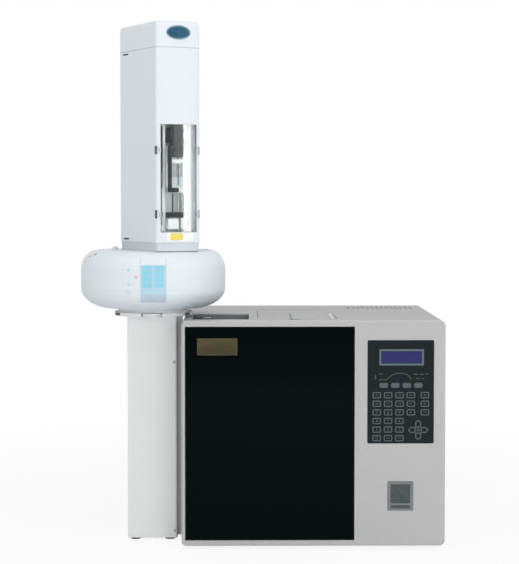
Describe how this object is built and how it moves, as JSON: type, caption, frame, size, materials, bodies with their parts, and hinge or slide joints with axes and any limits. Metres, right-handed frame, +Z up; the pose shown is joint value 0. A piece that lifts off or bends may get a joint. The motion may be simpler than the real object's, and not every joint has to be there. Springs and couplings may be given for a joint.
{
  "type": "gas chromatograph with autosampler",
  "caption": "Benchtop gas chromatograph with a black oven door and a keypad, beside a pedestal with a round vial carousel and a tall syringe tower.",
  "frame": {"origin": "on the bench, under the middle of the whole outline", "axes": "+Z up, +X to the right of a person facing the oven door, -Y towards that person"},
  "size_m": [0.774, 0.5232, 1.103],
  "materials": {
    "fascia": "fine-textured silver-grey paint",
    "housing": "satin grey paint",
    "stainless": "brushed stainless sheet",
    "plated": "zinc-plated sheet",
    "steel": "ground steel",
    "dark_metal": "dark oxide",
    "aluminium": "machined",
    "brass": "machined brass",
    "rubber": "matt black",
    "white_plastic": "glossy off-white moulding",
    "column_paint": "satin off-white paint",
    "black_gloss": "high-gloss black",
    "black_plastic": "matt black",
    "membrane": "printed membrane film",
    "sampler_film": "printed membrane film",
    "display": "blue display window",
    "clear": "clear",
    "board": "circuit board",
    "wool": "mineral wool",
    "gasket": "glass-fibre braid",
    "polyimide": "polyimide-coated silica"
  },
  "bodies": {
    "housing": {"base_tray": "plated", "front_bezel": "fascia", "left_side_panel": "housing", "right_side_panel": "housing", "top_cover": "housing", "rear_panel": "housing", "rubber_feet": "rubber", "panel_screws": "steel", "oven_insulation": "wool", "oven_liner": "stainless", "fan_shroud": "stainless", "heater_coil": "dark_metal", "fan_motor": "dark_metal", "column_hanger": "stainless", "capillary_column": "polyimide", "injector": "steel", "bay_tray": "plated", "detector": "aluminium", "hinge_pins": "steel", "door_catch": "steel", "keypad_membrane": "membrane", "display_bezel": "aluminium", "display_window": "display", "control_board": "board", "power_supply": "plated", "gas_manifold": "aluminium", "gas_fittings": "brass", "mains_inlet": "black_plastic", "exhaust_duct": "plated", "pedestal_column": "column_paint", "mounting_disc": "column_paint", "sampler_base": "white_plastic", "drum_cover": "white_plastic", "sampler_keypad": "sampler_film"},
    "oven_door": {"door_shell": "dark_metal", "door_glass": "black_gloss", "door_insulation": "wool", "door_liner": "stainless", "door_gasket": "gasket"},
    "oven_fan": {"fan_impeller": "stainless"},
    "roof_lid": {"detector_lid": "housing"},
    "mains_rocker": {"power_rocker": "black_plastic"},
    "vent_flap": {"exhaust_flap": "plated"},
    "clamp_wheel": {"clamp_thumbwheel": "column_paint"},
    "drum_hatch": {"loading_hatch": "white_plastic"},
    "vial_carousel": {"vial_rotor": "aluminium", "sample_vials": "clear", "vial_caps": "aluminium"},
    "drive_pinion": {"rotor_pinion": "brass"},
    "tower": {"tower_chassis": "column_paint", "tower_shell": "white_plastic", "tower_front_cover": "white_plastic", "tower_cap": "white_plastic", "needle_guide": "black_plastic", "tower_motors": "dark_metal"},
    "window_door": {"tower_door": "clear"},
    "carriage": {"syringe_carriage": "black_plastic", "syringe_barrel": "clear", "needle": "steel"},
    "plunger_slide": {"plunger_drive": "black_plastic"}
  },
  "joints": [
    {"name": "oven_door_hinge", "type": "hinge", "parent": "housing", "child": "oven_door", "pos_m": [-0.1484, -0.2534, 0.24345], "axis": [0, 0, -1], "range_deg": [0, 100]},
    {"name": "oven_fan_spin", "type": "hinge", "parent": "housing", "child": "oven_fan", "pos_m": [0.018, -0.0104, 0.24], "axis": [0, 1, 0], "continuous": true},
    {"name": "roof_lid_hinge", "type": "hinge", "parent": "housing", "child": "roof_lid", "pos_m": [0.0715, 0.0843, 0.474], "axis": [-1, 0, 0], "range_deg": [0, 90]},
    {"name": "mains_rocker_tilt", "type": "hinge", "parent": "housing", "child": "mains_rocker", "pos_m": [0.3305, 0.2346, 0.044], "axis": [1, 0, 0], "range_deg": [0, 20]},
    {"name": "vent_flap_hinge", "type": "hinge", "parent": "housing", "child": "vent_flap", "pos_m": [0.018, 0.25285, 0.377], "axis": [1, 0, 0], "range_deg": [0, 60]},
    {"name": "clamp_wheel_spin", "type": "hinge", "parent": "housing", "child": "clamp_wheel", "pos_m": [-0.231, -0.1574, 0.485], "axis": [0, 0, 1], "continuous": true},
    {"name": "drum_hatch_hinge", "type": "hinge", "parent": "housing", "child": "drum_hatch", "pos_m": [-0.315, -0.0904, 0.625], "axis": [0, 1, 0], "range_deg": [0, 88]},
    {"name": "vial_carousel_spin", "type": "hinge", "parent": "housing", "child": "vial_carousel", "pos_m": [-0.231, -0.0904, 0.566], "axis": [0, 0, 1], "continuous": true},
    {"name": "drive_pinion_spin", "type": "hinge", "parent": "housing", "child": "drive_pinion", "pos_m": [-0.285, 0.00313, 0.561], "axis": [0, 0, 1], "continuous": true},
    {"name": "tower_swivel", "type": "hinge", "parent": "housing", "child": "tower", "pos_m": [-0.231, -0.0904, 0.63], "axis": [0, 0, 1], "range_deg": [0, 63]},
    {"name": "window_door_hinge", "type": "hinge", "parent": "tower", "child": "window_door", "pos_m": [-0.21257, -0.22625, 0.767], "axis": [0, 0, -1], "range_deg": [0, 115]},
    {"name": "syringe_lift", "type": "slide", "parent": "tower", "child": "carriage", "axis": [0, 0, 1], "range_m": [-0.04, 0]},
    {"name": "plunger_travel", "type": "slide", "parent": "carriage", "child": "plunger_slide", "axis": [0, 0, 1], "range_m": [0, 0.054]}
  ],
  "couplings": [
    {"joint": "drive_pinion_spin", "follows": "vial_carousel_spin", "ratio": -5}
  ]
}
